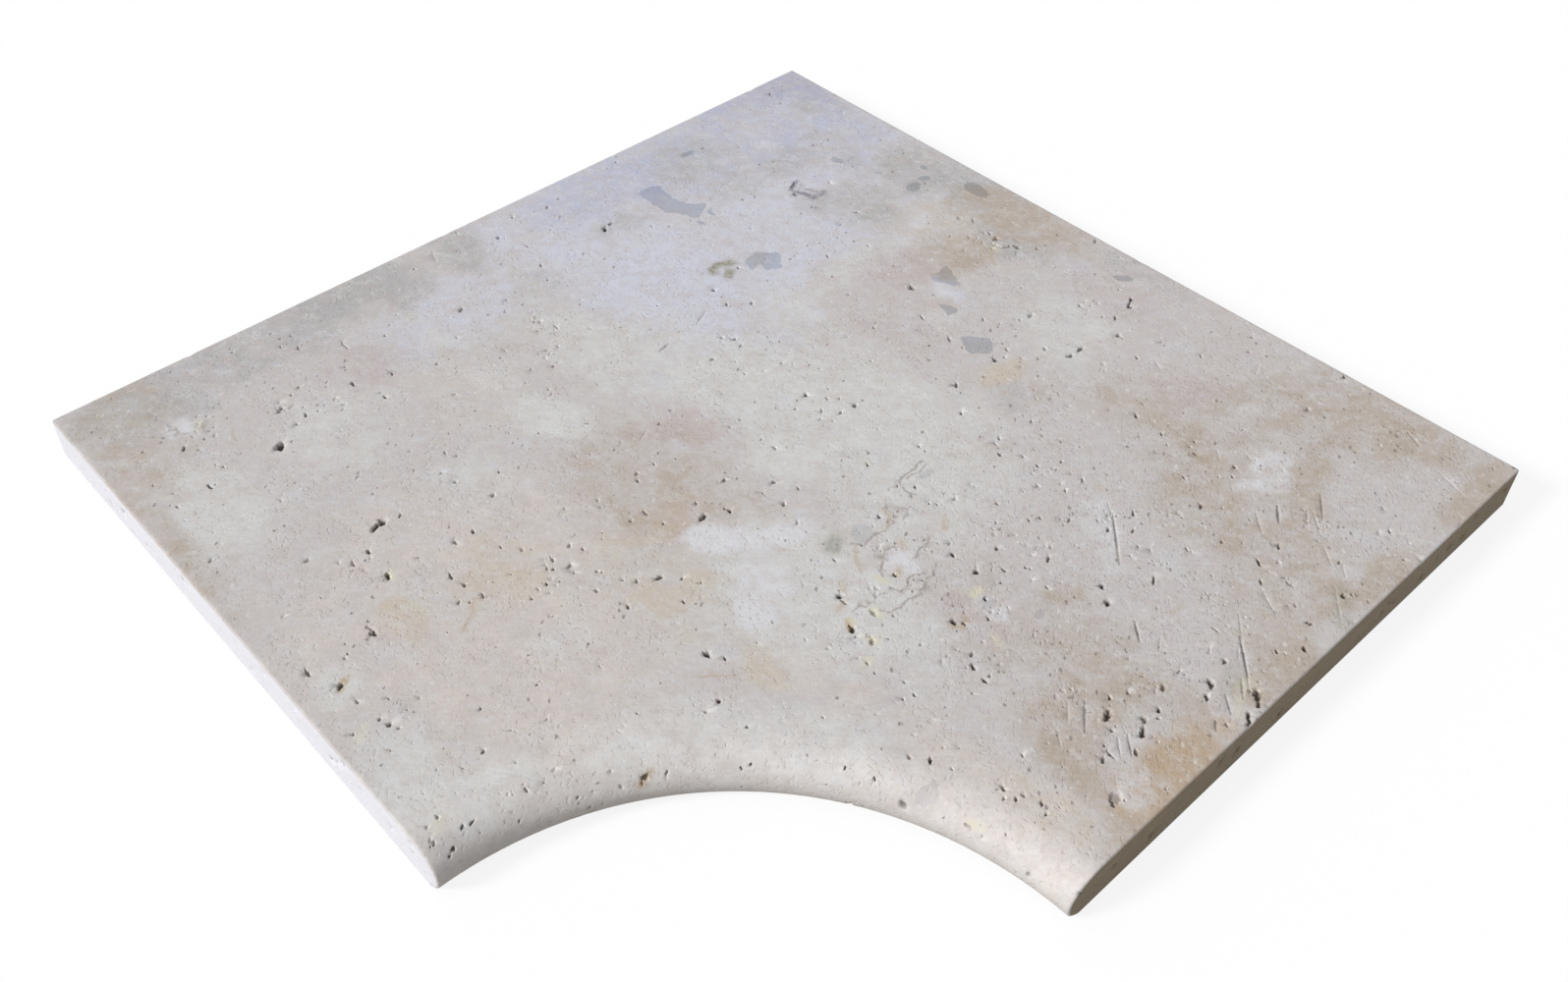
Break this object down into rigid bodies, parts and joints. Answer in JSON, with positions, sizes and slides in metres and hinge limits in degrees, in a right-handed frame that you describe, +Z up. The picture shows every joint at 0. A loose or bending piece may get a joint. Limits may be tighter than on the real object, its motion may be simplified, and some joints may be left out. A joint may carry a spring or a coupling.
{
  "type": "pool coping stone",
  "caption": "Square travertine coping stone for an inside pool corner, with a quarter round cut out of one corner and a bullnose along the curve.",
  "frame": {"origin": "centre of the bounding square, at the underside (the mortar bed)", "axes": "+Z up through the thickness; the rounded pool corner points to +X -Y; the straight backs face -X and +Y; the butt joints face +X and -Y"},
  "size_m": [0.61, 0.61, 0.028],
  "materials": {
    "travertine": "honed, matte, with open pits"
  },
  "bodies": {
    "root": {"coping_stone": "travertine"}
  },
  "joints": []
}
